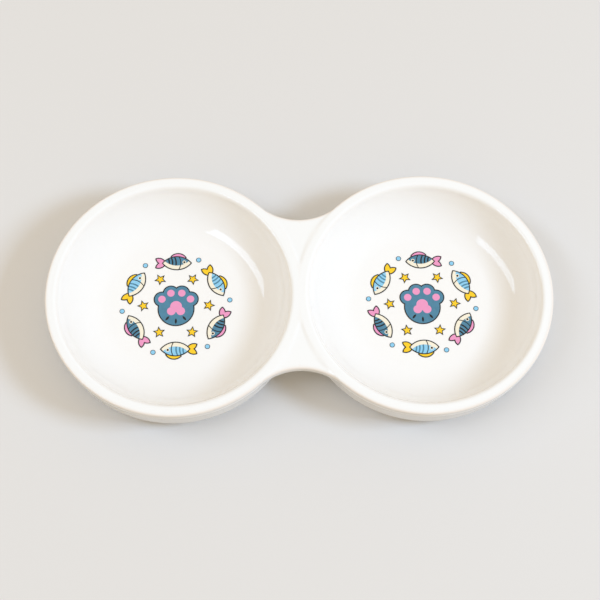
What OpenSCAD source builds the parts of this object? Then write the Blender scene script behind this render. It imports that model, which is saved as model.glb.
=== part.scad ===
/* [Bowls] */
// Outer diameter of one clay bowl over its rim
bowl_d = 136; // [120:0.5:150]
// How far the two rims run into each other in the middle
rim_overlap = 2.2; // [1.5:0.1:4]
// Height from the table to the top of the clay rim
height = 27.5; // [26:0.5:33]
// Depth of each bowl from the top of the rim to the clay floor
depth = 18.5; // [16.5:0.5:20]
// Radius of the cove that rises from the flat floor towards the rim
cove_r = 26.5; // [24:0.5:30]

/* [Rim] */
// Rounding of the rim's outer upper edge
rim_edge_r = 0.6; // [0.4:0.1:1.2]
// Width of the flat top of the rim
rim_flat = 3.1; // [2:0.1:4]
// Radius of the soft roll from the top of the rim down into the bowl
lip_r = 2.4; // [2:0.1:3.2]
// How far the cove cuts into the roll
lip_bite = 0.15; // [0.1:0.05:0.4]
// Height of the rim's upright outer face, with its rounded edge
rim_band = 3.5; // [2.5:0.1:4]

/* [Outer wall] */
// How far the rim stands out over the outer wall
rim_step = 0.5; // [0.2:0.1:1]
// Radius that the outer wall loses on its way down to the base corner
wall_taper = 1; // [0.5:0.1:1.5]
// Rounding between the outer wall and the underside
corner_r = 10; // [8:0.5:12]

/* [Feet] */
// Height of the unglazed foot ring
foot_h = 2.5; // [2:0.1:3]
// Width of the foot ring
foot_w = 5; // [4:0.5:8]
// Rounding of the foot ring's two lower edges
foot_edge_r = 0.8; // [0.4:0.1:1.2]
// Set-back of the foot ring from the start of the base corner
foot_setback = 1.5; // [1:0.5:4]

/* [Webs] */
// Plan radius of the hollow between the two bowls, in front and behind
hollow_r = 32; // [26:1:40]
// Thickness of the web that fills the notch between the bowls
web_t = 5.5; // [5:0.5:7]
// Rounding of the web's upper edge
web_edge_r = 0.6; // [0.4:0.1:1.2]
// Rounding of the web's lower edge
web_under_r = 2.5; // [1.5:0.1:3]
// How far the top of the web lies below the top of the rim
web_drop = 0.5; // [0.5:0.1:0.9]
// Distance by which a web stops short of the point where it would run out to nothing
web_tip_cut = 3; // [2:0.5:5]
// Distance by which a web stops short of the notch's inner end, where the rims meet
web_root_cut = 1; // [0.5:0.5:3]

/* [Glaze] */
// Thickness of the fired glaze
glaze_t = 0.4; // [0.3:0.05:0.6]

/* [Print] */
// Radius of the whole print on the floor of a bowl
print_r = 31; // [29:0.5:33]
// Thickness of the print colours on the glaze
ink_t = 0.15; // [0.1:0.05:0.3]
// Width of the black outlines
line_w = 0.6; // [0.4:0.05:0.8]

/* [Print motifs] */
// Pairs of fish round the paw, one fish of each colour in a pair
fish_pairs = 3; // [2:1:3]
// Length of a fish's body from nose to tail root
fish_l = 15; // [12:0.5:16]
// Width of a fish's body
fish_w = 7.2; // [6:0.1:8]
// Height of a fish's back fin over its body
fin_h = 1.8; // [1.2:0.1:2.4]
// Length of one lobe of a fish's tail
tail_l = 5.6; // [4.5:0.1:6]
// Radius of the sole of the paw
paw_r = 9.4; // [8:0.1:10]
// Radius of a toe of the paw
toe_r = 3.9; // [3:0.1:4.2]
// Radius of a star inside the ring of fish
star_r = 2.3; // [1.6:0.1:2.6]
// Radius of a bubble outside the ring of fish
bubble_r = 1.1; // [0.8:0.1:1.4]

/* [Hidden] */
$fn = 96;

// Overrun of a cutting shape past the faces that it cuts
over = 1;

// Plan: the bowls stand side by side along X and meet on the plane x = 0
bowl_r = bowl_d / 2;
bowl_x = bowl_r - rim_overlap / 2;

// Rim: centres of its outer edge's rounding and of the roll on its inner side, and its lower end
edge_c = bowl_r - rim_edge_r;
edge_z = height - rim_edge_r;
lip_c = edge_c - rim_flat;
lip_z = height - lip_r;
band_z = height - rim_band;

// Outer wall: from the rim down to the rounded base corner
wall_top_r = bowl_r - rim_step;
wall_foot_r = wall_top_r - wall_taper;
corner_c = wall_foot_r - corner_r;
corner_z = foot_h + corner_r;

// Inside: a flat floor and one wide cove, which runs into the roll of the rim where the line between
// the centres of both arcs crosses them
floor_z = height - depth;
cove_z = floor_z + cove_r;
centre_gap = cove_r + lip_r - lip_bite;
rise_share = (cove_z - lip_z) / centre_gap;
run_share = sqrt(1 - pow(rise_share, 2));
floor_r = lip_c - centre_gap * run_share;

// Foot ring
foot_out_r = corner_c - foot_setback;
foot_in_r = foot_out_r - foot_w;

// Webs: the hollow's circle touches both rims from outside
hollow_y = sqrt(pow(bowl_r + hollow_r, 2) - pow(bowl_x, 2));
touch_share = hollow_r / (bowl_r + hollow_r);
tip_x = bowl_x * touch_share - web_tip_cut;
tip_y = hollow_y * (1 - touch_share);
root_y = sqrt(pow(bowl_r, 2) - pow(bowl_x, 2)) + web_root_cut;
web_top = height - web_drop;
web_foot = web_top - web_t;
web_edge_z = web_top - web_edge_r;
web_under_z = web_foot + web_under_r;

// Print: the fish swim on a circle, with the paw in its middle
print_z = floor_z + glaze_t;
fish_ring_r = print_r - line_w - fin_h - fish_w / 2;
fish_count = 2 * fish_pairs;
fish_step = 360 / fish_count;
star_ring_share = 0.71;
bubble_ring_r = print_r - line_w - bubble_r;
bubble_turn_share = 0.6;

// Fish details, as shares of the body's length and width
gill_x_share = 0.16;
stripe_x_share = [0, -0.13, -0.25];
stripe_w_share = 0.055;
gill_w_share = 0.035;
belly_shift_share = 0.3;
eye_share = [0.27, 0.07];
eye_r_share = 0.14;
pupil_r_share = 0.085;
fin_x_share = 0.06;
fin_l_share = 0.5;
tail_w_share = 0.46;
tail_root_share = 0.46;
tail_angle = 30;
fin_angle = -6;

// Paw details, as shares of the sole's radius, and toe places as angles from the top
paw_shift_share = 0.2;
toe_angles = [-54, -18, 18, 54];
toe_ring_share = 1.02;
toe_pad_share = 0.52;
pad_top_share = [0.14, 0.34];
pad_side_share = [0.27, -0.14, 0.25];
mark_angles = [-130, -90, -50];
mark_ring_share = 0.76;
mark_share = [0.34, 0.13];

// Star: five points, with its notches at this share of its radius
star_points = 5;
star_notch_share = 0.46;
star_line_share = 1.9;

// Section of a bowl as a solid blank, grown outwards by skin
module blank_section(skin = 0) {
    join_r = lip_c - (lip_r + skin) * run_share;
    join_z = lip_z + (lip_r + skin) * rise_share;
    rim_section(skin);
    translate([corner_c, corner_z])
        circle(corner_r + skin);
    translate([0, foot_h - skin])
        square([corner_c, corner_z - foot_h + skin]);
    polygon([
        [0, corner_z], [wall_foot_r + skin, corner_z], [wall_top_r + skin, band_z],
        [lip_c, band_z], [lip_c, lip_z], [join_r, join_z], [0, join_z]
    ]);
}

// Section of the rim: upright outside, flat on top, and rolled softly over to the inside
module rim_section(skin = 0) {
    translate([lip_c, band_z - skin])
        square([bowl_r - lip_c + skin, edge_z - band_z + skin]);
    translate([lip_c, band_z - skin])
        square([rim_flat, rim_band + 2 * skin]);
    translate([edge_c, edge_z])
        circle(rim_edge_r + skin);
    intersection() {
        translate([lip_c, lip_z])
            circle(lip_r + skin);
        translate([lip_c - lip_r - skin, lip_z - lip_r])
            square([lip_r + skin, 2 * lip_r + skin]);
    }
}

// Section of the space inside a bowl, narrowed by skin
module inside_section(skin = 0) {
    translate([0, floor_z + skin])
        square([floor_r, cove_r]);
    translate([floor_r, cove_z])
        circle(cove_r - skin);
}

// Section of the clay or glazed wall of a bowl
module wall_section(skin = 0) {
    difference() {
        blank_section(skin);
        inside_section(skin);
    }
}

// Section of the foot ring, with its two lower edges rounded
module foot_section() {
    translate([foot_in_r, foot_edge_r])
        square([foot_w, foot_h - foot_edge_r]);
    translate([foot_in_r + foot_edge_r, 0])
        square([foot_w - 2 * foot_edge_r, foot_h]);
    for (x = [foot_in_r + foot_edge_r, foot_out_r - foot_edge_r])
        translate([x, foot_edge_r])
            circle(foot_edge_r);
}

// Half of the space, on the left or the right of the plane where the bowls meet
module half_space(side) {
    reach = bowl_x + bowl_r + over;
    translate([side < 0 ? -reach : 0, -reach, -over])
        cube([reach, 2 * reach, height + 2 * over]);
}

module bowl_clay(side) {
    intersection() {
        translate([side * bowl_x, 0, 0])
            rotate_extrude() {
                wall_section();
                foot_section();
            }
        half_space(side);
    }
}

// Section of a web, from its rounded edges on the hollow to past the middle of the bowls
module web_section(skin = 0) {
    reach = hollow_y - hollow_r;
    translate([hollow_r + web_edge_r, web_edge_z])
        circle(web_edge_r + skin);
    translate([hollow_r + web_under_r, web_under_z])
        circle(web_under_r + skin);
    translate([hollow_r - skin, web_under_z])
        square([reach, web_edge_z - web_under_z]);
    translate([hollow_r + web_edge_r, web_under_z])
        square([reach, web_top - web_under_z + skin]);
    translate([hollow_r + web_under_r, web_foot - skin])
        square([reach, web_edge_z - web_foot + skin]);
}

// A web behind the bowls: part of a flat ring round the hollow's axis
module web_solid(skin = 0) {
    intersection() {
        difference() {
            translate([0, hollow_y, 0])
                rotate_extrude()
                    web_section(skin);
            for (side = [-1, 1])
                translate([side * bowl_x, 0, 0])
                    rotate_extrude() {
                        blank_section();
                        square([lip_c, height + over]);
                    }
        }
        translate([-tip_x - skin, root_y - skin, 0])
            cube([2 * (tip_x + skin), tip_y - root_y + skin, height]);
    }
}

module left_bowl() {
    color("linen")
        bowl_clay(-1);
}

module right_bowl() {
    color("linen")
        bowl_clay(1);
}

module rear_web() {
    color("antiquewhite")
        web_solid();
}

module front_web() {
    color("antiquewhite")
        mirror([0, 1, 0])
            web_solid();
}

// Glaze on one bowl, left open where the webs join it and bare on the foot ring
module bowl_glaze(side) {
    difference() {
        intersection() {
            translate([side * bowl_x, 0, 0])
                rotate_extrude()
                    difference() {
                        wall_section(glaze_t);
                        wall_section();
                        foot_section();
                    }
            half_space(side);
        }
        web_solid(glaze_t);
        mirror([0, 1, 0])
            web_solid(glaze_t);
    }
}

// Glaze round a web
module web_glaze() {
    difference() {
        web_solid(glaze_t);
        web_solid();
    }
}

module left_glaze() {
    color("white")
        bowl_glaze(-1);
}

module right_glaze() {
    color("white")
        bowl_glaze(1);
}

module rear_web_glaze() {
    color("white")
        web_glaze();
}

module front_web_glaze() {
    color("white")
        mirror([0, 1, 0])
            web_glaze();
}

// A leaf shape with two pointed ends, grown outwards by grow
module leaf(length, width, grow = 0) {
    arc_r = (pow(length / 2, 2) + pow(width / 2, 2)) / width;
    intersection_for(side = [-1, 1])
        translate([0, side * (arc_r - width / 2)])
            circle(arc_r + grow);
}

// Lens across a fish's body at share x of its length, bent towards the nose
module body_band(x_share, w_share) {
    bend_r = fish_w;
    translate([fish_l * x_share - bend_r, 0])
        difference() {
            circle(bend_r);
            translate([-fish_l * w_share, 0])
                circle(bend_r);
        }
}

module fish_body(grow = 0) {
    leaf(fish_l, fish_w, grow);
}

module fish_fins(grow = 0) {
    for (turn = [-tail_angle, tail_angle])
        translate([-fish_l * tail_root_share, 0])
            rotate(turn)
                translate([line_w - tail_l / 2, 0])
                    leaf(tail_l, tail_l * tail_w_share, grow);
    translate([fish_l * fin_x_share, fish_w / 2])
        rotate(fin_angle)
            leaf(fish_l * fin_l_share, 2 * fin_h, grow);
}

module fish_belly() {
    difference() {
        fish_body();
        translate([0, fish_w * belly_shift_share])
            fish_body();
    }
}

module fish_eye(r_share) {
    translate([fish_l * eye_share.x, fish_w * eye_share.y])
        circle(fish_w * r_share);
}

module fish_stripes() {
    difference() {
        intersection() {
            fish_body();
            for (x_share = stripe_x_share)
                body_band(x_share, stripe_w_share);
        }
        fish_belly();
    }
}

module fish_gill() {
    intersection() {
        fish_body();
        body_band(gill_x_share, gill_w_share);
    }
}

// What shows of the fins, with room left for the line round the body
module fins_fill() {
    difference() {
        fish_fins();
        fish_body(line_w);
    }
}

module body_fill() {
    difference() {
        fish_body();
        fish_belly();
        fish_stripes();
        fish_gill();
        fish_eye(eye_r_share);
    }
}

module fish_lines() {
    difference() {
        union() {
            fish_body(line_w);
            fish_fins(line_w);
        }
        fish_body();
        fins_fill();
    }
    fish_gill();
    fish_eye(pupil_r_share);
}

module fish_lights() {
    difference() {
        fish_belly();
        fish_gill();
    }
    difference() {
        fish_eye(eye_r_share);
        fish_eye(pupil_r_share);
    }
}

// Every second place on the ring of fish, starting with the first or the second
module on_ring(first) {
    for (i = [first : 2 : fish_count - 1])
        rotate(i * fish_step)
            translate([0, fish_ring_r])
                children();
}

module on_whole_ring() {
    on_ring(0)
        children();
    on_ring(1)
        children();
}

// Sole of the paw with its toes, grown outwards by grow
module paw_shape(grow = 0) {
    circle(paw_r + grow);
    for (turn = toe_angles)
        rotate(turn)
            translate([0, paw_r * toe_ring_share])
                circle(toe_r + grow);
}

module paw_pads() {
    translate([0, paw_r * pad_top_share.x])
        circle(paw_r * pad_top_share.y);
    for (side = [-1, 1])
        translate([side * paw_r * pad_side_share.x, paw_r * pad_side_share.y])
            circle(paw_r * pad_side_share.z);
    for (turn = toe_angles)
        rotate(turn)
            translate([0, paw_r * toe_ring_share])
                circle(toe_r * toe_pad_share);
}

module paw_marks() {
    for (turn = mark_angles)
        rotate(turn)
            translate([paw_r * mark_ring_share, 0])
                leaf(paw_r * mark_share.x, paw_r * mark_share.y);
}

module paw_place() {
    translate([0, -paw_r * paw_shift_share])
        children();
}

function star_outline(radius) = [
    for (i = [0 : 2 * star_points - 1])
        let (r = i % 2 == 0 ? radius : radius * star_notch_share, turn = 90 + i * 180 / star_points)
        r * [cos(turn), sin(turn)]
];

// Stars and bubbles stand between the fish, inside and outside their ring
module on_star_places() {
    for (i = [0 : fish_count - 1])
        rotate((i + 1 / 2) * fish_step)
            translate([0, fish_ring_r * star_ring_share])
                children();
}

module on_bubble_places() {
    for (i = [0 : fish_count - 1])
        rotate((i + bubble_turn_share) * fish_step)
            translate([0, bubble_ring_r])
                children();
}

// Each colour of the print lies on the glaze, and no two of them overlap
module ink(side) {
    translate([side * bowl_x, 0, print_z])
        linear_extrude(ink_t)
            mirror([side > 0 ? 1 : 0, 0])
                children();
}

module ink_black() {
    on_whole_ring()
        fish_lines();
    on_ring(0)
        fish_stripes();
    paw_place() {
        difference() {
            paw_shape(line_w);
            paw_shape();
        }
        paw_marks();
    }
    on_star_places()
        difference() {
            polygon(star_outline(star_r + line_w * star_line_share));
            polygon(star_outline(star_r));
        }
    on_bubble_places()
        difference() {
            circle(bubble_r + line_w / 2);
            circle(bubble_r);
        }
}

module ink_slate() {
    on_ring(0)
        body_fill();
    on_ring(1)
        fish_stripes();
    paw_place()
        difference() {
            paw_shape();
            paw_pads();
            paw_marks();
        }
}

module ink_pink() {
    on_ring(0)
        fins_fill();
    paw_place()
        paw_pads();
}

module ink_sky() {
    on_ring(1)
        body_fill();
    on_bubble_places()
        circle(bubble_r);
}

module ink_yellow() {
    on_ring(1)
        fins_fill();
    on_star_places()
        polygon(star_outline(star_r));
}

module ink_cream() {
    on_whole_ring()
        fish_lights();
}

module left_print_black() {
    color("black")
        ink(-1)
            ink_black();
}

module left_print_slate() {
    color("steelblue")
        ink(-1)
            ink_slate();
}

module left_print_pink() {
    color("hotpink")
        ink(-1)
            ink_pink();
}

module left_print_sky() {
    color("lightskyblue")
        ink(-1)
            ink_sky();
}

module left_print_yellow() {
    color("gold")
        ink(-1)
            ink_yellow();
}

module left_print_cream() {
    color("cornsilk")
        ink(-1)
            ink_cream();
}

module right_print_black() {
    color("black")
        ink(1)
            ink_black();
}

module right_print_slate() {
    color("steelblue")
        ink(1)
            ink_slate();
}

module right_print_pink() {
    color("hotpink")
        ink(1)
            ink_pink();
}

module right_print_sky() {
    color("lightskyblue")
        ink(1)
            ink_sky();
}

module right_print_yellow() {
    color("gold")
        ink(1)
            ink_yellow();
}

module right_print_cream() {
    color("cornsilk")
        ink(1)
            ink_cream();
}

left_bowl();
right_bowl();
front_web();
rear_web();
left_glaze();
right_glaze();
front_web_glaze();
rear_web_glaze();
left_print_black();
left_print_slate();
left_print_pink();
left_print_sky();
left_print_yellow();
left_print_cream();
right_print_black();
right_print_slate();
right_print_pink();
right_print_sky();
right_print_yellow();
right_print_cream();
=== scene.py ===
import math

import bpy
import numpy as np
from mathutils import Matrix, Vector


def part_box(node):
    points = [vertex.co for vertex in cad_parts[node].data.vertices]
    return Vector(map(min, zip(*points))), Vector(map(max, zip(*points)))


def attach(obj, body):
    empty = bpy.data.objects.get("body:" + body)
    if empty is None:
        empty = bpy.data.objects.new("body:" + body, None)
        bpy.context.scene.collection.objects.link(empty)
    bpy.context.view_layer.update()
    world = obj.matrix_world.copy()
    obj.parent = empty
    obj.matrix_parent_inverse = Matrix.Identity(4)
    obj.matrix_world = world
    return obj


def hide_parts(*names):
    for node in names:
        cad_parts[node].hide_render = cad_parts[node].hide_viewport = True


bl_info = {
    "name": "Glazed double pet bowl",
    "version": (1, 0, 0),
    "blender": (4, 5, 0),
    "location": "View3D > Sidebar > Pet bowl",
    "description": "Glazed body, bare clay feet, printed floors and studio of a double pet bowl",
    "category": "Object",
}

# The fixed frame: every size that a node's box can give is read from it
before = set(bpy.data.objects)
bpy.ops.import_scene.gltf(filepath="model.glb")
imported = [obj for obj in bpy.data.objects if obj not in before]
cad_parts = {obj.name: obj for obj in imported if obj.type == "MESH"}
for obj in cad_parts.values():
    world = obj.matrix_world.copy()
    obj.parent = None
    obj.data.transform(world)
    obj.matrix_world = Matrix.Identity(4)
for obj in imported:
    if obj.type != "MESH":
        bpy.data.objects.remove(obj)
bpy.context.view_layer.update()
clay_lo, clay_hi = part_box("left_bowl")
glaze_lo, glaze_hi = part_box("left_glaze")
web_lo, web_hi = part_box("rear_web")
print_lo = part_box("left_print_black")[0]

GLAZE_NODES = ("left_glaze", "right_glaze", "front_web_glaze", "rear_web_glaze")
CLAY_NODES = ("left_bowl", "right_bowl", "front_web", "rear_web")
INKS = ("black", "slate", "pink", "sky", "yellow", "cream")

MM = 0.001
BOWL_R = clay_hi.y
GLAZE_T = glaze_hi.y - clay_hi.y
QUARTER = math.pi / 2
DIAGONAL = math.sqrt(0.5)


def length(name, text, default, least=0):
    """A length setting in metres."""
    return bpy.props.FloatProperty(
        name=name, description=text, default=default, min=least, unit="LENGTH", precision=4
    )


def share(name, text, default):
    """A setting from 0 to 1."""
    return bpy.props.FloatProperty(
        name=name, description=text, default=default, min=0, max=1, subtype="FACTOR"
    )


def angle(name, text, degrees):
    """An angle setting, given in degrees and kept in radians."""
    return bpy.props.FloatProperty(
        name=name, description=text, default=math.radians(degrees), unit="ROTATION"
    )


def colour(name, text, red, green, blue):
    """A colour setting, given as screen values from 0 to 255."""
    return bpy.props.FloatVectorProperty(
        name=name, description=text, default=linear(red, green, blue),
        size=3, min=0, max=1, subtype="COLOR",
    )


def linear(*screen):
    """Screen values from 0 to 255 as linear light."""
    values = [value / 255 for value in screen]
    return tuple(v / 12.92 if v <= 0.04045 else ((v + 0.055) / 1.055) ** 2.4 for v in values)


class BowlSizes(bpy.types.PropertyGroup):
    """Sizes of the clay body that the glaze follows"""

    bowl_r: length("Bowl radius", "Outer radius of the clay rim", BOWL_R)
    axis_x: length("Axis distance", "From the middle plane to a bowl's axis", -clay_lo.x - BOWL_R)
    height: length("Height", "From the floor to the top of the clay rim", clay_hi.z)
    floor_z: length("Inner floor", "Height of the clay floor in a bowl", print_lo.z - GLAZE_T)
    base_z: length("Underside", "Height of the clay underside", glaze_lo.z + GLAZE_T)
    web_top: length("Web top", "Height of the clay web's top", web_hi.z)
    web_t: length("Web thickness", "Thickness of the clay web", web_hi.z - web_lo.z)
    glaze_t: length("Glaze", "Thickness of the glaze", GLAZE_T)
    edge_r: length("Edge rounding", "Rounding of the outer upper edge of rim and webs", 0.6 * MM)
    rim_flat: length("Rim top", "Width of the rim's flat top", 3.1 * MM)
    lip_r: length("Lip roll", "Radius of the roll from the rim's top into the bowl", 2.4 * MM)
    rim_band: length("Rim band", "Height of the rim's upright outer face", 3.5 * MM)
    rim_step: length("Rim step", "How far the rim stands out over the wall", 0.5 * MM)
    wall_taper: length("Wall taper", "Radius that the wall loses on its way down", 1 * MM)
    corner_r: length("Base corner", "Rounding between wall and underside", 10 * MM)
    cove_r: length("Cove", "Radius of the cove from the floor to the rim", 26.5 * MM)
    hollow_r: length("Hollow", "Plan radius of the hollow between the bowls", 32 * MM)
    web_under_r: length("Web rounding", "Rounding of the webs' lower edge", 2.5 * MM)
    foot_w: length("Foot width", "Width of the foot ring", 5 * MM)
    foot_setback: length("Foot set-back", "From the base corner to the foot ring", 1.5 * MM)


class GlazeFlow(bpy.types.PropertyGroup):
    """How the glaze rounds the body's inner and outer corners"""

    band_edge: length("Band edge", "Rounding of the lower edge of the rim's band", 0.4 * MM)
    under_rim: length("Under the rim", "Fillet between the rim and the wall", 0.9 * MM)
    valley: length("Valley", "Fillet where the two rims meet", 2.2 * MM)
    web_over: length("Web above", "Fillet between the rim and the web's top", 1.0 * MM)
    web_under: length("Web below", "Fillet between the wall and the web's underside", 3.5 * MM)
    web_fade: length("Web fade", "Distance over which a web's fillets grow from nothing", 16 * MM)
    web_tip: length("Web tip", "Distance over which a web's tip sinks into the bowl", 3.3 * MM)
    web_sink: length("Web sink", "How far a web's tip sinks", 0.55 * MM)
    web_grow: length("Web growth", "Distance over which a web grows to its thickness", 4 * MM)
    foot_skirt: length("Foot skirt", "How far the glaze runs down the foot ring", 0.9 * MM)
    foot_fillet: length("Foot fillet", "Fillet between underside and foot ring", 0.8 * MM)
    # The warm line along the edges is partly thin glaze and partly painted shade in the edges' creases and
    # on the rolls into the bowls
    edge_line_half_width: length("Thin line", "Half the width of the thin glaze along an edge", 0.9 * MM)
    web_cover: share("Web cover", "How much a web's glaze hides the thin line of the rim", 0.85)
    cover_before: length("Cover start", "How far before a web the rim's thin line starts to weaken", 1 * MM)
    cover_after: length("Cover end", "How far onto a web the rim's thin line has weakened", 3 * MM)
    lip_cover: share("Lip cover", "How much weaker the thin line is on the roll into the bowl", 0.62)


class Looks(bpy.types.PropertyGroup):
    """Colours and gloss of the fired surfaces"""

    white: colour("White", "Colour of the thick glaze", 248, 248, 247)
    # Painted light: a whiter, bluer colour for the tops of rims and webs, so that they look brightly lit
    lit_top_white: colour("Top white", "Colour of the thickest glaze, on rims and webs", 248, 251, 253)
    # Warm edge colour: partly thin glaze on the edges, partly painted shade along the creases and the rolls
    # into the bowls
    warm: colour("Thin glaze", "Colour where the glaze runs thin on an edge", 226, 196, 160)
    warmth: share("Edge warmth", "How strongly the thin glaze shows", 0.35)
    gloss: share("Roughness", "Roughness of the glaze and of the inks", 0.07)
    clay: colour("Clay", "Colour of the bare clay", 226, 214, 194)
    black: colour("Black ink", "Colour of the outlines and stripes", 20, 20, 20)
    slate: colour("Slate ink", "Colour of the darker blue", 78, 134, 163)
    pink: colour("Pink ink", "Colour of the pads and fins", 240, 156, 200)
    sky: colour("Sky ink", "Colour of the lighter blue", 143, 208, 242)
    yellow: colour("Yellow ink", "Colour of the stars and fins", 255, 210, 31)
    cream: colour("Cream ink", "Colour of the bellies and eyes", 248, 241, 220)


class Studio(bpy.types.PropertyGroup):
    """Camera, lamps and floor"""

    azimuth: angle("Azimuth", "Turn of the camera round the object", -2.755)
    elevation: angle("Elevation", "Angle of the camera above the horizon", 68.536)
    roll: angle("Roll", "Turn of the camera about its own axis", 2.119)
    distance: length("Distance", "From the aim point to the camera", 0.75445)
    lens: bpy.props.FloatProperty(
        name="Lens", description="Focal length in millimetres", default=85.64, subtype="DISTANCE_CAMERA"
    )
    aim_y: length("Aim depth", "Depth of the point that the camera looks at", -5.5 * MM, least=-1)
    aim_z: length("Aim height", "Height of the point that the camera looks at", 30.4 * MM)
    ambient: share("Ambient", "Strength of the light from all round", 0.73)
    ambient_tint: colour("Ambient tint", "Colour of the light from all round", 255, 234, 200)
    lamp_tint: colour("Lamp tint", "Colour of the lamps' light", 198, 224, 255)
    floor: colour("Floor", "Colour of the floor", 226, 226, 226)
    floor_cast: share("Floor cast", "Share of its colour that the floor casts on the object", 0.65)
    fade_from: length("Fade start", "Distance from the middle where the floor starts to fade", 0.35)
    fade_to: length("Fade end", "Distance from the middle where only the backdrop is left", 1.2)
    backdrop: colour("Backdrop", "Colour behind the floor, as the camera sees it", 222, 222, 222)


def step(low, high, value):
    """Smooth step from 0 at low to 1 at high: 3 t squared minus 2 t cubed."""
    t = np.clip((value - low) / (high - low), 0, 1)
    return t * t * (3 - 2 * t)


def mixed(a, b, t):
    """The value between a and b at share t."""
    return a + (b - a) * t


def round_union(a, b, radius):
    """Union of two distance fields, with a fillet of this radius in the corner between them."""
    corner = np.hypot(np.maximum(radius - a, 0), np.maximum(radius - b, 0))
    return np.maximum(radius, np.minimum(a, b)) - corner


def round_intersection(a, b, radius):
    """What two distance fields share, with the edge between them rounded by this radius."""
    corner = np.hypot(np.maximum(radius + a, 0), np.maximum(radius + b, 0))
    return np.minimum(-radius, np.maximum(a, b)) + corner


# How points settle on the body: rounds, halvings of a height, the tick that a slope is measured over,
# the longest move in a round, and the least squared slope that a move is divided by
SETTLE_ROUNDS = 12
HALVINGS = 40
TICK = 0.01 * MM
LONGEST_MOVE = 1 * MM
LEAST_STEEPNESS = 0.25


class GlazedBody:
    """Shape of the glazed body's left half, as a distance field that points settle on"""

    def __init__(self, sizes, flow):
        skin = sizes.glaze_t
        self.flow = flow
        self.axis = sizes.axis_x
        self.top = sizes.height + skin
        self.edge = sizes.edge_r + skin
        self.edge_c = sizes.bowl_r - sizes.edge_r
        self.edge_z = sizes.height - sizes.edge_r
        self.band_r = sizes.bowl_r + skin
        self.band_z = sizes.height - sizes.rim_band - skin
        self.lip = sizes.lip_r + skin
        self.lip_c = self.edge_c - sizes.rim_flat
        self.lip_z = sizes.height - sizes.lip_r
        self.base_z = sizes.base_z - skin
        self.corner = sizes.corner_r + skin
        self.corner_z = sizes.base_z + sizes.corner_r
        self.wall_r = sizes.bowl_r - sizes.rim_step - sizes.wall_taper + skin
        self.corner_c = self.wall_r - self.corner
        self.lean = math.atan(sizes.wall_taper / (self.band_z - self.corner_z))
        self.floor_z = sizes.floor_z + skin
        self.cove = sizes.cove_r - skin
        self.cove_z = sizes.floor_z + sizes.cove_r
        self.join = math.acos((self.cove_z - self.lip_z) / (self.cove + self.lip))
        self.floor_r = self.lip_c - (self.cove + self.lip) * math.sin(self.join)
        self.web_top = sizes.web_top + skin
        self.web_edge_z = sizes.web_top - sizes.edge_r
        self.web_under = sizes.web_under_r + skin
        self.web_under_z = sizes.web_top - sizes.web_t + sizes.web_under_r
        self.web_side = sizes.hollow_r - skin
        self.web_reach = sizes.hollow_r + sizes.edge_r
        self.centres = sizes.bowl_r + sizes.hollow_r
        self.hollow_y = math.sqrt(self.centres**2 - self.axis**2)
        self.foot_mid = self.corner_c - sizes.foot_setback - sizes.foot_w / 2
        self.foot_half = sizes.foot_w / 2 + skin
        self.foot_end = self.base_z - flow.foot_skirt

    def outside(self, radius, z):
        """One bowl from outside: wall and underside with a round corner, and the rim's band on top."""
        wall = radius - self.wall_r - np.maximum(z - self.corner_z, 0) * math.tan(self.lean)
        body = round_intersection(wall, self.base_z - z, self.corner)
        body = np.maximum(body, z - self.band_z - self.flow.band_edge)
        band = round_intersection(radius - self.band_r, z - self.top, self.edge)
        band = round_intersection(band, self.band_z - z, self.flow.band_edge)
        return round_union(body, band, self.flow.under_rim)

    def upper(self, radius, z):
        """One bowl from above: the flat floor, the cove's hollow arc, the lip's round one, which starts
        where both have the same slope, and the rim's flat top."""
        cove_x, lip_x = radius - self.floor_r, radius - self.lip_c
        slope = np.arctan2(cove_x, self.cove_z - z)
        return np.select(
            [lip_x > 0, slope > self.join, cove_x > 0],
            [
                z - self.top,
                np.hypot(lip_x, z - self.lip_z) - self.lip,
                self.cove - np.hypot(cove_x, z - self.cove_z),
            ],
            z - self.floor_z,
        )

    def foot(self, radius, z):
        """Ring of glaze down the flanks of the clay foot ring, ended by a rolled edge."""
        across = np.abs(radius - self.foot_mid) - self.foot_half
        return round_intersection(across, self.foot_end - z, self.flow.foot_skirt / 2)

    def web(self, x, depth, z):
        """Distance to the webs and the fillet round them: a slab with two round edges along the hollow's
        circle, which sinks into the bowl as it nears the line from the bowl's axis to the hollow's."""
        side = self.web_side - np.hypot(x, depth - self.hollow_y)
        slab = round_intersection(side, z - self.web_top, self.edge)
        inwards = self.inwards(x, depth)
        foot = mixed(self.band_z, self.web_under_z - self.web_under, self.web_share(inwards))
        slab = round_intersection(slab, foot - z, self.web_under)
        fade = step(0, self.flow.web_fade, inwards)
        tip = 1 - step(0, self.flow.web_tip, inwards)
        slab = np.maximum(slab + tip * self.flow.web_sink, -inwards)
        slab = np.maximum(slab, self.edge_c - np.hypot(x + self.axis, depth))
        above = step(foot, self.web_top, z)
        return slab, fade * mixed(self.flow.web_under, self.flow.web_over, above)

    def field(self, points):
        """Distance to the glazed body: bowls, webs and feet in one, less the space in the bowl."""
        x, depth, z = points[..., 0], np.abs(points[..., 1]), points[..., 2]
        radius = np.hypot(x + self.axis, depth)
        other = np.hypot(x - self.axis, depth)
        solid = round_union(self.outside(radius, z), self.outside(other, z), self.flow.valley)
        solid = round_union(solid, *self.web(x, depth, z))
        solid = round_union(solid, self.foot(radius, z), self.flow.foot_fillet)
        return np.maximum(solid, self.upper(radius, z))

    def inwards(self, x, depth):
        """How far a point lies on the web's side of the line from the bowl's axis to the hollow's."""
        return ((x + self.axis) * self.hollow_y - depth * self.axis) / self.centres

    def web_share(self, inwards):
        """From 0 to 1, how far a web's edge has grown from the rim's band to its whole thickness."""
        return step(0, self.flow.web_grow, inwards)

    def line(self, across, up):
        """From 0 to 1, a bell curve of the distance from the middle of a line of thin glaze and painted
        shade.
        """
        return np.exp(-((np.hypot(across, up) / self.flow.edge_line_half_width) ** 2))

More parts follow.
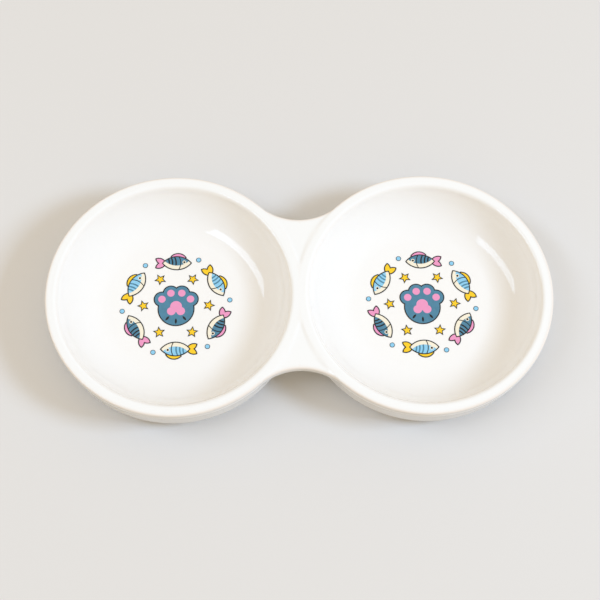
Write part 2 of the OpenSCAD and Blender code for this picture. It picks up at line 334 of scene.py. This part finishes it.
    def thin_glaze(self, points):
        """From 0 to 1, how thin the glaze runs and how much shade is painted: lines along the outer upper
        edge of a rim or a web and along the roll into the bowl, weaker on that roll and where the rim's
        edge runs on over a web."""
        x, depth, z = -np.abs(points[:, 0]), np.abs(points[:, 1]), points[:, 2]
        radius = np.hypot(x + self.axis, depth)
        reach = np.hypot(x, depth - self.hollow_y)
        out, roll = self.edge * DIAGONAL, self.lip * DIAGONAL
        rim = self.line(radius - self.edge_c - out, z - self.edge_z - out)
        web = self.line(reach - self.web_reach + out, z - self.web_edge_z - out)
        lip = self.line(radius - self.lip_c + roll, z - self.lip_z - roll)
        on_web = step(-self.flow.cover_before, self.flow.cover_after, self.inwards(x, depth))
        rim = rim * (1 - self.flow.web_cover * on_web)
        lip = lip * (1 - self.flow.lip_cover)
        return np.maximum(np.maximum(rim, web * on_web), lip)

    def height_on_middle(self, depth, low, high):
        """Height at which the middle plane's edge lies, halved in on from low outside and high inside."""
        low = np.full_like(depth, low)
        high = np.full_like(depth, high)
        for _ in range(HALVINGS):
            middle = (low + high) / 2
            out = self.field(np.stack([0 * depth, depth, middle], -1)) > 0
            low = np.where(out, middle, low)
            high = np.where(out, high, middle)
        return high

    def settled(self, points, on_middle):
        """Points moved down the field's slope until they lie on the body. Those on the middle plane
        stay on it."""
        for _ in range(SETTLE_ROUNDS):
            value = self.field(points)
            slope = np.zeros_like(points)
            for axis in range(3):
                shift = np.zeros(3)
                shift[axis] = TICK
                slope[..., axis] = (self.field(points + shift) - self.field(points - shift)) / (2 * TICK)
            slope[..., 0] = np.where(on_middle, 0, slope[..., 0])
            steepness = np.maximum((slope**2).sum(-1), LEAST_STEEPNESS)
            move = np.clip(value / steepness, -LONGEST_MOVE, LONGEST_MOVE)
            points = points - move[..., None] * slope
        return points


# Rows of the grid, from the middle of the inner floor over the rim to the underside: the floor, the
# cove, the roll, the flat top, the edge, the wall with the base corner, and under the body the border,
# each flank of the foot ring, the foot itself and the recess inside it
FLOOR_ROWS = 8
COVE_ROWS = 40
LIP_ROWS = 14
LAND_ROWS = 9
EDGE_ROWS = 22
WALL_ROWS = 30
BORDER_ROWS = 2
FLANK_ROWS = 6
FOOT_ROWS = 6
RECESS_ROWS = 11

# The last row before the edge, which on the middle plane is the crest where the two halves meet
CREST_ROW = FLOOR_ROWS + COVE_ROWS + LIP_ROWS + LAND_ROWS - 1

# Columns of half the grid: on the middle plane, round the web's hollow and round the bare rim
MIDDLE_COLUMNS = 30
HOLLOW_COLUMNS = 20
PLAIN_COLUMNS = 66
ON_MIDDLE = slice(0, MIDDLE_COLUMNS + 1)


def shares(count):
    """Even shares from just above 0 to 1."""
    return np.arange(1, count + 1) / count


def inner_section(body):
    """Radius and height of the rows from the floor's middle over the cove and the lip to the rim's top."""
    floor = shares(FLOOR_ROWS) * body.floor_r
    turn = shares(COVE_ROWS) * body.join
    roll = body.join * (1 - shares(LIP_ROWS))
    radius = np.concatenate([
        floor,
        body.floor_r + body.cove * np.sin(turn),
        body.lip_c - body.lip * np.sin(roll),
    ])
    z = np.concatenate([
        np.full(FLOOR_ROWS, body.floor_z),
        body.cove_z - body.cove * np.cos(turn),
        body.lip_z + body.lip * np.cos(roll),
    ])
    return radius, z


def base_section(body):
    """Radius and height of the rows under the body: past the foot ring to the middle."""
    outer = body.foot_mid + body.foot_half
    inner = body.foot_mid - body.foot_half
    skirt = body.base_z - body.foot_end
    flank = skirt * shares(FLANK_ROWS)
    radius = np.concatenate([
        mixed(body.corner_c, outer + skirt, shares(BORDER_ROWS)),
        outer + skirt - flank,
        mixed(outer, inner, shares(FOOT_ROWS)),
        inner - flank,
        mixed(inner - skirt, 0, shares(RECESS_ROWS + 1)[:-1]),
    ])
    z = np.concatenate([
        np.full(BORDER_ROWS, body.base_z),
        body.base_z - flank,
        np.full(FOOT_ROWS, body.foot_end),
        body.foot_end + flank,
        np.full(RECESS_ROWS, body.base_z),
    ])
    return radius, z


def half_columns(body):
    """The columns from the middle plane round to the far side: bearing and reach of the plan point where
    each one starts to round the edge, the direction that it faces there, and how much of a web it is."""
    edge_y = body.hollow_y - body.web_reach
    middle = np.linspace(0, edge_y, MIDDLE_COLUMNS + 1)
    touch = math.atan2(body.axis, body.hollow_y)
    turn = shares(HOLLOW_COLUMNS) * touch
    start = math.atan2(body.hollow_y, body.axis)
    plain = mixed(start, math.pi, shares(PLAIN_COLUMNS))
    x = np.concatenate([
        np.zeros(middle.size),
        -body.web_reach * np.sin(turn),
        body.edge_c * np.cos(plain) - body.axis,
    ])
    y = np.concatenate([
        middle,
        body.hollow_y - body.web_reach * np.cos(turn),
        body.edge_c * np.sin(plain),
    ])
    facing = np.concatenate([np.full(middle.size, QUARTER), QUARTER - turn, plain])
    bearing = np.arctan2(y, x + body.axis)
    reach = np.hypot(x + body.axis, y)
    web = np.where(np.arange(x.size) < middle.size, 1, body.web_share(body.inwards(x, y)))
    return bearing, reach, facing, web


def edge_path(body, web, part):
    """How far out and how high a column lies after this part of its way round the edge: down a quarter
    circle, straight down the upright face, and round its lower edge."""
    upper_z = mixed(body.edge_z, body.web_edge_z, web)
    lower = mixed(body.flow.band_edge, body.web_under, web)
    lower_z = mixed(body.band_z + body.flow.band_edge, body.web_under_z, web)
    first = body.edge * QUARTER
    face = upper_z - lower_z
    way = part * (first + face + lower * QUARTER)
    bend = np.minimum(way / body.edge, QUARTER)
    under = np.maximum(way - first - face, 0) / lower
    drop = np.clip(way - first, 0, face)
    out = body.edge * np.sin(bend) - lower * (1 - np.cos(under))
    z = upper_z + body.edge * np.cos(bend) - drop - lower * np.sin(under)
    return out, z


def around(body, bearing, radius, z):
    """Points round the left bowl's axis, at this bearing, radius and height."""
    x = radius * np.cos(bearing) - body.axis
    y = radius * np.sin(bearing)
    return np.stack(np.broadcast_arrays(x, y, z), -1)


def section_rows(body, bearing, radius, z):
    """One row round the bowl for each point of a section."""
    return around(body, bearing, radius[:, None], z[:, None])


def land_rows(body, bearing, reach, web):
    """Rows over the flat top of the rim and the web, out to the edge or to the middle plane's crest."""
    part = shares(LAND_ROWS)[:, None]
    far_z = mixed(body.top, body.web_top, web)
    middle_y = body.axis * np.tan(bearing[ON_MIDDLE])
    far_z[ON_MIDDLE] = body.height_on_middle(middle_y, body.top + body.edge, body.web_edge_z)
    return around(body, bearing, mixed(body.lip_c, reach, part), mixed(body.top, far_z, part))


def edge_rows(body, bearing, reach, facing, web):
    """Rows round the edge. Where the last one lies on the middle plane, it runs along the trough under
    the crest, with its columns spread evenly up to where the web's edge ends."""
    out, z = edge_path(body, web, shares(EDGE_ROWS)[:, None])
    facing = np.stack([np.cos(facing), np.sin(facing), 0 * facing], -1)
    rows = around(body, bearing, reach, z) + out[..., None] * facing
    last = rows[-1]
    trough_y = np.linspace(0, last[MIDDLE_COLUMNS, 1], MIDDLE_COLUMNS, endpoint=False)
    trough_z = body.height_on_middle(trough_y, 0.0, body.web_edge_z)
    last[:MIDDLE_COLUMNS] = np.stack([0 * trough_y, trough_y, trough_z], -1)
    return rows


def wall_rows(body, bearing, reach, start_z):
    """Rows evenly spaced on each column's way: under the web to the wall, down the leaning wall, and
    round the base corner's quarter circle."""
    fall = np.maximum(start_z - body.corner_z, 0)
    start_turn = np.arcsin(np.clip((body.corner_z - start_z) / body.corner, 0, 1))
    wall = np.where(
        fall > 0,
        body.wall_r + fall * math.tan(body.lean),
        body.corner_c + body.corner * np.cos(start_turn),
    )
    knee = np.maximum(reach - wall, 0)
    way = shares(WALL_ROWS)[:, None] * (knee + fall + body.corner * (QUARTER - start_turn))
    down = np.clip(way - knee, 0, fall)
    turn = start_turn + np.maximum(way - knee - fall, 0) / body.corner
    places = [way < knee, way < knee + fall]
    at_wall = body.wall_r + (fall - down) * math.tan(body.lean)
    at_corner = body.corner_c + body.corner * np.cos(turn)
    radius = np.select(places, [reach - way, at_wall], at_corner)
    z = np.select(places, [start_z, start_z - down], body.corner_z - body.corner * np.sin(turn))
    return around(body, bearing, radius, z)


def half_grid(body):
    """Rows by columns of points for half of the left bowl, before they settle on the body, and the
    flags of those that lie on the middle plane."""
    bearing, reach, facing, web = half_columns(body)
    inner = section_rows(body, bearing, *inner_section(body))
    land = land_rows(body, bearing, reach, web)
    edge = edge_rows(body, bearing, reach, facing, web)
    low_x, low_y, low_z = edge[-1].T
    low_bearing = np.arctan2(low_y, low_x + body.axis)
    wall = wall_rows(body, low_bearing, np.hypot(low_x + body.axis, low_y), low_z)
    base = section_rows(body, low_bearing, *base_section(body))
    points = np.concatenate([inner, land, edge, wall, base])
    on_middle = np.zeros(points.shape[:2], bool)
    on_middle[CREST_ROW:CREST_ROW + EDGE_ROWS + 1, ON_MIDDLE] = True
    return points, on_middle


def whole_body(body):
    """Vertices and faces of the closed glazed body. The half grid is settled on the field, mirrored in y
    to close the left bowl, ended by a pole at each middle, and mirrored in x for the right bowl."""
    points, on_middle = half_grid(body)
    points = body.settled(points, on_middle)
    points[on_middle, 0] = 0
    mirrored = points[:, -2:0:-1] * [1, -1, 1]
    points = np.concatenate([points, mirrored], 1)
    on_middle = np.concatenate([on_middle, on_middle[:, -2:0:-1]], 1)
    rows, columns = on_middle.shape

    # The middle columns have no faces round the edge, because the body goes on there into its other half
    column = np.arange(columns)
    inner = (column < MIDDLE_COLUMNS) | (column > columns - MIDDLE_COLUMNS)
    index = np.arange(rows * columns).reshape(rows, columns)
    after = np.roll(index, -1, 1)
    quads = np.stack([index[:-1], after[:-1], after[1:], index[1:]], -1)
    joined = inner | np.roll(inner, -1)
    kept = np.ones((rows - 1, columns), bool)
    kept[CREST_ROW:CREST_ROW + EDGE_ROWS, joined] = False
    quads = quads[kept]

    poles = np.array([[-body.axis, 0, body.floor_z], [-body.axis, 0, body.base_z]])
    top_pole = rows * columns
    fans = [
        np.stack([0 * column + top_pole, after[0], index[0]], -1),
        np.stack([0 * column + top_pole + 1, index[-1], after[-1]], -1),
    ]
    points = np.concatenate([points.reshape(-1, 3), poles])
    shared = np.append(on_middle.ravel(), [False, False])
    return with_other_half(points, shared, quads, np.concatenate(fans))


def with_other_half(points, shared, quads, triangles):
    """The half body and its mirror image in x as one mesh, joined at the shared vertices and free of
    unused ones, with its faces turned outwards."""
    count = len(points)
    twin = np.where(shared, np.arange(count), np.arange(count) + count)
    points = np.concatenate([points, points * [-1, 1, 1]])
    quads = np.concatenate([quads, twin[quads][:, ::-1]])
    triangles = np.concatenate([triangles, twin[triangles][:, ::-1]])
    used = np.zeros(len(points), bool)
    used[quads] = True
    used[triangles] = True
    place = np.cumsum(used) - 1
    points = points[used]
    quads = place[quads]
    triangles = place[triangles]
    corners = points[triangles]
    volume = np.einsum("ij,ij->", corners[:, 0], np.cross(corners[:, 1], corners[:, 2]))
    corners = points[quads]
    for pair in ([0, 1, 2], [0, 2, 3]):
        a, b, c = (corners[:, k] for k in pair)
        volume += np.einsum("ij,ij->", a, np.cross(b, c))
    if volume < 0:
        quads = quads[:, ::-1]
        triangles = triangles[:, ::-1]
    return points, quads, triangles


def piece_from(name, points, quads, triangles):
    """A smooth mesh object from numpy arrays of vertices, four-sided and three-sided faces."""
    mesh = bpy.data.meshes.new(name)
    faces = quads.tolist() + triangles.tolist()
    mesh.from_pydata(points.tolist(), [], faces)
    mesh.polygons.foreach_set("use_smooth", np.ones(len(mesh.polygons), bool))
    mesh.validate()
    mesh.update()
    piece = bpy.data.objects.new(name, mesh)
    bpy.context.scene.collection.objects.link(piece)
    return piece


def points_of(piece):
    """The piece's vertices as an array with one row each."""
    points = np.empty(len(piece.data.vertices) * 3)
    piece.data.vertices.foreach_get("co", points)
    return points.reshape(-1, 3)


def add_attribute(piece, name, values):
    """A number on each vertex that the piece's material reads."""
    attribute = piece.data.attributes.new(name, "FLOAT", "POINT")
    attribute.data.foreach_set("value", values.astype(np.float32))


class Value:
    """A shader output that Python sums can use: each operator adds the Math node that it stands for."""

    def __init__(self, nodes, output):
        self.nodes = nodes
        self.output = output

    def math(self, operation, other):
        return self.nodes.add("ShaderNodeMath", {"operation": operation}, [self, other])

    def __add__(self, other):
        return self.math("ADD", other)

    def __mul__(self, other):
        return self.math("MULTIPLY", other)

    __radd__ = __add__
    __rmul__ = __mul__


# Sockets of a Mix node that is set to colours
MIX_A = 6
MIX_B = 7
MIX_RESULT = 2


class Nodes:
    """The nodes of one tree, a material's or the world's"""

    def __init__(self, tree):
        self.tree = tree

    def add(self, kind, settings=None, inputs=(), output=0):
        """Adds a node, makes its settings, then fills its sockets with values or links."""
        node = self.tree.nodes.new(kind)
        for key, value in (settings or {}).items():
            setattr(node, key, value)
        pairs = inputs.items() if isinstance(inputs, dict) else enumerate(inputs)
        for key, value in pairs:
            self.feed(node.inputs[key], value)
        return Value(self, node.outputs[output])

    def feed(self, socket, value):
        """Links a shader output to a socket, or sets the socket to a plain value."""
        if isinstance(value, Value):
            self.tree.links.new(value.output, socket)
        else:
            socket.default_value = value

    def blend(self, share_of_b, a, b):
        """Colour a, with this share of colour b."""
        sides = {"Factor": share_of_b}
        for socket, side in ((MIX_A, a), (MIX_B, b)):
            sides[socket] = side if isinstance(side, Value) else (*side, 1)
        return self.add("ShaderNodeMix", {"data_type": "RGBA"}, sides, MIX_RESULT)

    def ramp(self, value, low, high, interpolation="LINEAR"):
        """0 where the value is low, 1 where it is high, and in between on the way."""
        limits = {"Value": value, "From Min": low, "From Max": high}
        return self.add("ShaderNodeMapRange", {"interpolation_type": interpolation}, limits)

    def seen(self):
        """1 where the camera looks, straight or by way of a mirror or glass, and 0 for the light that one
        surface casts on another."""
        kinds = ("Is Camera Ray", "Is Glossy Ray", "Is Transmission Ray")
        straight, mirrored, through = (self.add("ShaderNodeLightPath", output=kind) for kind in kinds)
        return straight.math("MAXIMUM", mirrored).math("MAXIMUM", through)

    def show(self, share_of_b, a, b, output_name):
        """Mixes two shaders into what the tree's output shows."""
        mix = self.add("ShaderNodeMixShader", inputs=[share_of_b, a, b])
        self.feed(self.tree.nodes[output_name].inputs["Surface"], mix)


class Shader(Nodes):
    """One procedural material on Object coordinates"""

    def __init__(self, name):
        self.material = bpy.data.materials.new(name)
        self.material.use_nodes = True
        super().__init__(self.material.node_tree)
        self.surface = self.tree.nodes["Principled BSDF"]
        self.place = self.add("ShaderNodeTexCoord", output="Object")

    def set(self, **sockets):
        """Fills the surface's own sockets. An underscore in a name stands for a space."""
        for name, value in sockets.items():
            self.feed(self.surface.inputs[name.replace("_", " ")], value)

    def noise(self, size, detail=2.0):
        """Noise whose features have about this size in metres, with finer ones added by detail."""
        inputs = {"Vector": self.place, "Scale": 1 / size, "Detail": detail}
        return self.add("ShaderNodeTexNoise", inputs=inputs, output="Fac")

    def bump(self, relief):
        """Normal bent by a relief whose height is in metres."""
        inputs = {"Strength": 1.0, "Distance": 1.0, "Height": relief}
        return self.add("ShaderNodeBump", inputs=inputs, output="Normal")


def scaled(tint, factor):
    """A colour made lighter or darker by one factor."""
    return tuple(min(channel * factor, 1) for channel in tint)


# Glaze: spacing of its unevenness, height of its relief, spread of its tone and roughness, and how deep
# below the webs' top the painted light on the tops of rims and webs ends
GLAZE_CLOUD = 45 * MM
GLAZE_SHEEN = 30 * MM
GLAZE_WAVE = 24 * MM
GLAZE_PIT = 1.2 * MM
WAVE_HEIGHT = 0.04 * MM
PIT_HEIGHT = 0.0008 * MM
GLAZE_DARK = 0.985
GLAZE_LIGHT = 1.01
LEAST_SHEEN = 0.7
ADDED_SHEEN = 0.6
LIT_TOP_DEPTH = 1 * MM


def glaze_material(looks):
    """White glaze: thick and milky, a little uneven in tone and gloss, painted whiter on lit tops, and warm
    along the edges, partly thin glaze, partly painted shade.
    """
    shader = Shader("white_glaze")
    cloud = shader.noise(GLAZE_CLOUD)
    tone = shader.blend(cloud, scaled(looks.white, GLAZE_DARK), scaled(looks.white, GLAZE_LIGHT))
    # Painted light: the tops of rims and webs turn whiter and bluer over their top millimetre, as if
    # brightly lit
    level = shader.add("ShaderNodeSeparateXYZ", inputs=[shader.place], output="Z")
    lit_top = shader.ramp(level, web_hi.z - LIT_TOP_DEPTH, web_hi.z)
    tone = shader.blend(lit_top, tone, looks.lit_top_white)
    # Painted shade, in part: warm lines along the edges, where the glaze runs thin and where shade falls in
    # the creases
    thin = shader.add("ShaderNodeAttribute", {"attribute_name": "thin_glaze"}, output="Fac")
    sheen = LEAST_SHEEN + shader.noise(GLAZE_SHEEN) * ADDED_SHEEN
    waves = shader.noise(GLAZE_WAVE, detail=1.0) * WAVE_HEIGHT
    pits = shader.noise(GLAZE_PIT) * PIT_HEIGHT
    shader.set(
        Base_Color=shader.blend(thin * looks.warmth, tone, looks.warm),
        Roughness=sheen * looks.gloss,
        Normal=shader.bump(waves + pits),
    )
    return shader.material


# Clay: spacing of its unevenness, height of its grain, spread of its tone, the noise at which a speck
# starts and is whole, and the roughness with what the grain adds
CLAY_GRAIN = 0.6 * MM
CLAY_PATCH = 9 * MM
CLAY_SPECK = 1.1 * MM
GRAIN_HEIGHT = 0.06 * MM
CLAY_DARK = 0.86
CLAY_LIGHT = 1.04
SPECK_START = 0.68
SPECK_WHOLE = 0.76
SPECK_SHARE = 0.5
SPECK_DARK = 0.45
CLAY_ROUGHNESS = 0.8
GRAIN_ROUGHNESS = 0.15


def clay_material(looks):
    """Bare fired clay: matt, with sandy grain and a few darker specks."""
    shader = Shader("bare_clay")
    grain = shader.noise(CLAY_GRAIN, detail=4.0)
    patches = shader.noise(CLAY_PATCH, detail=3.0)
    tone = shader.blend(patches, scaled(looks.clay, CLAY_DARK), scaled(looks.clay, CLAY_LIGHT))
    specks = shader.ramp(shader.noise(CLAY_SPECK, detail=1.0), SPECK_START, SPECK_WHOLE)
    shader.set(
        Base_Color=shader.blend(specks * SPECK_SHARE, tone, scaled(looks.clay, SPECK_DARK)),
        Roughness=CLAY_ROUGHNESS + grain * GRAIN_ROUGHNESS,
        Normal=shader.bump(grain * GRAIN_HEIGHT),
    )
    return shader.material


# Inks: spacing and share of clouds and flecks, the noise at which a cloud starts and is whole, and the
# roughness that the flecks add
INK_CLOUD = 3.2 * MM
INK_FLECK = 0.7 * MM
CLOUD_SHARE = 0.7
FLECK_SHARE = 0.3
CLOUD_START = 0.42
CLOUD_WHOLE = 0.72
FLECK_ROUGHNESS = 0.05

# How far each ink's tone wanders, and by which factor its cloud is darker or lighter
INK_UNEVENNESS = {
    "black": (0.10, 1.8), "slate": (0.55, 0.72), "pink": (0.25, 0.90),
    "sky": (0.30, 0.88), "yellow": (0.25, 0.90), "cream": (0.30, 0.92),
}


def ink_material(looks, ink):
    """Printed ink under gloss: clouded as ink lies on a transfer, and as smooth as the glaze."""
    shader = Shader(f"{ink}_ink")
    tint = getattr(looks, ink)
    wander, depth = INK_UNEVENNESS[ink]
    fleck = shader.noise(INK_FLECK)
    mottle = shader.noise(INK_CLOUD, detail=3.0) * CLOUD_SHARE + fleck * FLECK_SHARE
    cloud = shader.ramp(mottle, CLOUD_START, CLOUD_WHOLE)
    shader.set(
        Base_Color=shader.blend(cloud * wander, tint, scaled(tint, depth)),
        Roughness=looks.gloss + fleck * FLECK_ROUGHNESS,
        Normal=shader.bump(shader.noise(GLAZE_WAVE, detail=1.0) * WAVE_HEIGHT),
    )
    return shader.material


def wear(node_name, material):
    """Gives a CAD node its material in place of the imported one."""
    for material_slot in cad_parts[node_name].material_slots:
        material_slot.material = material


class PETBOWL_OT_glaze(bpy.types.Operator):
    """Make the glazed body and cover the clay with it"""

    bl_idname = "petbowl.glaze"
    bl_label = "Glazed body"

    def execute(self, context):
        scene = context.scene
        sizes = scene.petbowl_sizes
        body = GlazedBody(sizes, scene.petbowl_flow)
        piece = piece_from("glazed_body", *whole_body(body))
        # Warm edge lines, partly thin glaze and partly painted shade
        add_attribute(piece, "thin_glaze", body.thin_glaze(points_of(piece)))
        piece.data.materials.append(glaze_material(scene.petbowl_looks))
        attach(piece, "root")
        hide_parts(*GLAZE_NODES)
        return {"FINISHED"}


class PETBOWL_OT_clay(bpy.types.Operator):
    """Finish the clay body, which shows on the foot rings"""

    bl_idname = "petbowl.clay"
    bl_label = "Bare clay"

    def execute(self, context):
        material = clay_material(context.scene.petbowl_looks)
        for name in CLAY_NODES:
            wear(name, material)
        return {"FINISHED"}


class PETBOWL_OT_print(bpy.types.Operator):
    """Finish the printed colours on the floors of the bowls"""

    bl_idname = "petbowl.print"
    bl_label = "Printed floors"

    def execute(self, context):
        for ink in INKS:
            material = ink_material(context.scene.petbowl_looks, ink)
            for side in ("left", "right"):
                wear(f"{side}_print_{ink}", material)
        return {"FINISHED"}


def camera_axes(azimuth, elevation, roll):
    """Right, up and back of a camera that looks down from elevation at this azimuth."""
    back = Vector((
        math.sin(azimuth) * math.cos(elevation),
        -math.cos(azimuth) * math.cos(elevation),
        math.sin(elevation),
    ))
    right = Vector((math.cos(azimuth), math.sin(azimuth), 0))
    up = back.cross(right)
    return (
        math.cos(roll) * right + math.sin(roll) * up,
        math.cos(roll) * up - math.sin(roll) * right,
        back,
    )


def add_camera(studio):
    """The photograph's viewpoint."""
    data = bpy.data.cameras.new("camera")
    data.lens = studio.lens
    camera = bpy.data.objects.new("camera", data)
    bpy.context.scene.collection.objects.link(camera)
    right, up, back = camera_axes(studio.azimuth, studio.elevation, studio.roll)
    turn = Matrix((right, up, back)).transposed().to_4x4()
    aim = Vector((0, studio.aim_y, studio.aim_z))
    camera.matrix_world = Matrix.Translation(aim + back * studio.distance) @ turn
    bpy.context.scene.camera = camera


# The lamps: where each one is, the point that it faces, the way its width runs, its sides, its power,
# and whether the glaze mirrors it
LAMPS = {
    "key": {
        "place": (1.6, -0.26, 1.3),
        "aim": (0, 0, 0),
        "along": (0.16, 0.99, 0),
        "width": 0.52,
        "height": 0.52,
        "power": 25.2,
        "mirrored": False,
    },
    "panel": {
        "place": (-1.05, 0.06, 1.33),
        "aim": (-1.05, 0.06, 0),
        "along": (0.75, -0.66, 0),
        "width": 1.3,
        "height": 0.45,
        "power": 8.6,
        "mirrored": True,
    },
}


def add_lamp(name, tint, place, aim, along, width, height, power, mirrored):
    """A soft lamp: a bright rectangle at its place, which faces the aim point."""
    data = bpy.data.lights.new(name, "AREA")
    data.shape = "RECTANGLE"
    data.size = width
    data.size_y = height
    data.energy = power
    data.color = tint
    lamp = bpy.data.objects.new(name, data)
    lamp.visible_glossy = mirrored
    bpy.context.scene.collection.objects.link(lamp)
    back = (Vector(place) - Vector(aim)).normalized()
    up = back.cross(Vector(along)).normalized()
    turn = Matrix((up.cross(back), up, back)).transposed().to_4x4()
    lamp.matrix_world = Matrix.Translation(place) @ turn


def add_world(studio):
    """Even light from all round, and a pale backdrop for the camera and for reflections."""
    world = bpy.data.worlds.new("studio")
    world.use_nodes = True
    bpy.context.scene.world = world
    nodes = Nodes(world.node_tree)
    light = world.node_tree.nodes["Background"]
    light.inputs["Color"].default_value = (*studio.ambient_tint, 1)
    light.inputs["Strength"].default_value = studio.ambient
    backdrop = nodes.add("ShaderNodeBackground", inputs={"Color": (*studio.backdrop, 1)})
    nodes.show(nodes.seen(), Value(nodes, light.outputs[0]), backdrop, "World Output")


# Floor: its radius, rings and sides, and a matt surface that hardly mirrors
FLOOR_R = 6.0
FLOOR_RINGS = 8
FLOOR_SIDES = 64
FLOOR_ROUGHNESS = 0.9
FLOOR_SPECULAR = 0.1


def floor_disc():
    """A wide flat disc: rings at the squares of even shares of the radius, so they widen outwards."""
    radius = FLOOR_R * shares(FLOOR_RINGS) ** 2
    turn = shares(FLOOR_SIDES) * 2 * math.pi
    x = np.append(np.outer(radius, np.cos(turn)).ravel(), 0)
    y = np.append(np.outer(radius, np.sin(turn)).ravel(), 0)
    middle = FLOOR_RINGS * FLOOR_SIDES
    index = np.arange(middle).reshape(FLOOR_RINGS, FLOOR_SIDES)
    after = np.roll(index, -1, 1)
    quads = np.stack([index[:-1], index[1:], after[1:], after[:-1]], -1).reshape(-1, 4)
    fan = np.stack([0 * index[0] + middle, index[0], after[0]], -1)
    return piece_from("floor", np.stack([x, y, 0 * x], -1), quads, fan)


def floor_material(studio):
    """Matt floor that casts less of its colour than it shows, and fades into the backdrop far out."""
    shader = Shader("floor")
    seen = shader.seen()
    shader.set(
        Base_Color=shader.blend(seen, scaled(studio.floor, studio.floor_cast), studio.floor),
        Roughness=FLOOR_ROUGHNESS,
        Specular_IOR_Level=FLOOR_SPECULAR,
    )
    far = shader.add("ShaderNodeVectorMath", {"operation": "LENGTH"}, [shader.place], "Value")
    faded = shader.ramp(far, studio.fade_from, studio.fade_to, "SMOOTHSTEP")
    backdrop = shader.add("ShaderNodeEmission", inputs={"Color": (*studio.backdrop, 1)})
    shader.show(seen * faded, Value(shader, shader.surface.outputs[0]), backdrop, "Material Output")
    return shader.material


class PETBOWL_OT_studio(bpy.types.Operator):
    """Set up the camera, the lamps and the floor"""

    bl_idname = "petbowl.studio"
    bl_label = "Studio"

    def execute(self, context):
        studio = context.scene.petbowl_studio
        add_camera(studio)
        for name, lamp in LAMPS.items():
            add_lamp(name, studio.lamp_tint, **lamp)
        add_world(studio)
        floor = floor_disc()
        floor.data.materials.append(floor_material(studio))
        context.scene.view_settings.view_transform = "Standard"
        return {"FINISHED"}


OPERATORS = (PETBOWL_OT_glaze, PETBOWL_OT_clay, PETBOWL_OT_print, PETBOWL_OT_studio)
SETTINGS = {
    "petbowl_sizes": BowlSizes,
    "petbowl_flow": GlazeFlow,
    "petbowl_looks": Looks,
    "petbowl_studio": Studio,
}


class PETBOWL_PT_panel(bpy.types.Panel):
    """Buttons and settings of the pet bowl"""

    bl_idname = "PETBOWL_PT_panel"
    bl_label = "Pet bowl"
    bl_space_type = "VIEW_3D"
    bl_region_type = "UI"
    bl_category = "Pet bowl"

    def draw(self, context):
        column = self.layout.column()
        for operator in OPERATORS:
            column.operator(operator.bl_idname)
        for name, group in SETTINGS.items():
            box = column.box()
            box.label(text=group.bl_rna.name)
            for key in group.__annotations__:
                box.prop(getattr(context.scene, name), key)


def register():
    for group in SETTINGS.values():
        bpy.utils.register_class(group)
    for name, group in SETTINGS.items():
        setattr(bpy.types.Scene, name, bpy.props.PointerProperty(type=group))
    for item in (*OPERATORS, PETBOWL_PT_panel):
        bpy.utils.register_class(item)


def unregister():
    for item in (PETBOWL_PT_panel, *reversed(OPERATORS)):
        bpy.utils.unregister_class(item)
    for name in SETTINGS:
        delattr(bpy.types.Scene, name)
    for group in reversed(list(SETTINGS.values())):
        bpy.utils.unregister_class(group)


def main():
    """Makes the whole scene."""
    register()
    bpy.ops.petbowl.glaze()
    bpy.ops.petbowl.clay()
    bpy.ops.petbowl.print()
    bpy.ops.petbowl.studio()


if __name__ == "__main__":
    main()
